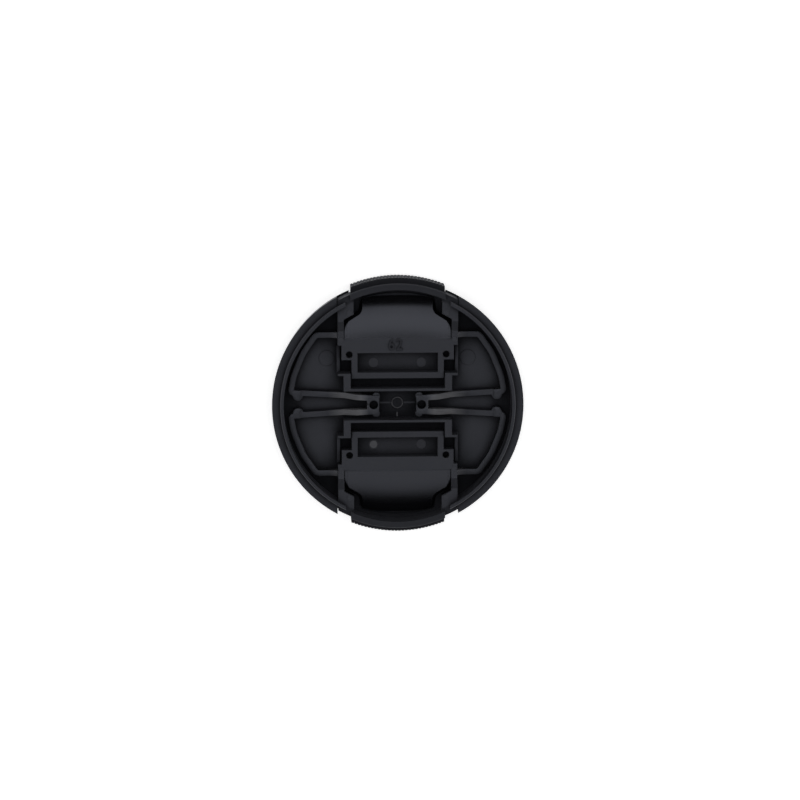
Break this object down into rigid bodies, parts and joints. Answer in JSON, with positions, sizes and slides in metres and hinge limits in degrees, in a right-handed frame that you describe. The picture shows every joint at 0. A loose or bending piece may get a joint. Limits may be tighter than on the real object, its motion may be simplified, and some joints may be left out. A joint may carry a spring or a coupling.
{
  "type": "camera lens cap",
  "caption": "Round push-on lens cap with a rim flange, a plug wall and sprung pinch sliders whose ridged claws grip the filter thread of a lens.",
  "frame": {"origin": "centre of the front face, which lies on the surface", "axes": "+Z toward the lens, +Y toward the upper slider, +X to the right in the picture"},
  "size_m": [0.065, 0.0666, 0.0078],
  "materials": {
    "cap_plastic": "satin",
    "slider_plastic": "satin",
    "spring_plastic": "satin"
  },
  "bodies": {
    "cap": {"cap_body": "cap_plastic", "left_spring": "spring_plastic", "right_spring": "spring_plastic"},
    "upper_slider": {"upper_slider": "slider_plastic"},
    "lower_slider": {"lower_slider": "slider_plastic"}
  },
  "joints": [
    {"name": "upper_pinch", "type": "slide", "parent": "cap", "child": "upper_slider", "axis": [0, -1, 0], "range_m": [0, 0.0022], "stiffness_N_per_m": 2000, "deforming": ["left_spring", "right_spring"]},
    {"name": "lower_pinch", "type": "slide", "parent": "cap", "child": "lower_slider", "axis": [0, 1, 0], "range_m": [0, 0.0022], "stiffness_N_per_m": 2000, "deforming": ["left_spring", "right_spring"]}
  ]
}
